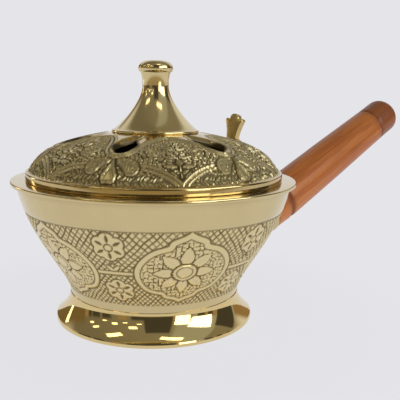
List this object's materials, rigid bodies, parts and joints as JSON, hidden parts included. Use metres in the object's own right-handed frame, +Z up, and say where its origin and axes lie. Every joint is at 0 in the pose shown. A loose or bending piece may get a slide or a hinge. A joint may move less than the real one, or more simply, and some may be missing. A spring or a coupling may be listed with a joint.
{
  "type": "charcoal censer",
  "caption": "Small footed charcoal censer: tapered bowl with a wide rim, hinged pierced dome lid with a tall finial, thumb lift and a turned wooden side handle.",
  "frame": {"origin": "middle of the whole footprint, from the rim's front edge to the handle's tip, on the table", "axes": "+X from the bowl towards the handle, +Z up, Y along the lid's hinge pin"},
  "size_m": [0.1916, 0.096, 0.0875],
  "materials": {
    "bowl_brass": "cast and engraved, polished on the high places, dark in the cuts",
    "lid_brass": "cast in relief, polished on the high places, dark in the low ones",
    "foot_brass": "mirror polished",
    "finial_brass": "polished",
    "fitting_brass": "satin",
    "small_brass": "satin",
    "lift_brass": "satin, golden",
    "grate_brass": "dull",
    "stud_steel": "plain",
    "grip_wood": "varnished red-brown hardwood"
  },
  "bodies": {
    "bowl_body": {"foot": "foot_brass", "bowl": "bowl_brass", "foot_screw": "small_brass", "foot_washer": "small_brass", "foot_nut": "small_brass", "handle_bracket": "fitting_brass", "bracket_rivet_1": "small_brass", "bracket_rivet_2": "small_brass", "bracket_rivet_3": "small_brass", "bracket_rivet_4": "small_brass", "hinge_pin": "small_brass", "handle_stud": "stud_steel", "handle_ferrule": "fitting_brass", "handle_grip": "grip_wood"},
    "lid_body": {"lid_dome": "lid_brass", "finial": "finial_brass", "finial_stud": "stud_steel", "finial_washer": "small_brass", "finial_nut": "small_brass", "lid_strap": "fitting_brass", "thumb_lift": "lift_brass", "strap_rivet_1": "small_brass", "strap_rivet_2": "small_brass", "lift_rivet": "small_brass"},
    "grate_body": {"charcoal_grate": "grate_brass"}
  },
  "joints": [
    {"name": "lid_hinge", "type": "hinge", "parent": "bowl_body", "child": "lid_body", "pos_m": [0.00279, 0, 0.0498], "axis": [0, 1, 0], "range_deg": [0, 100]},
    {"name": "grate_lift", "type": "slide", "parent": "bowl_body", "child": "grate_body", "axis": [0, 0, 1], "range_m": [0, 0.03]}
  ]
}
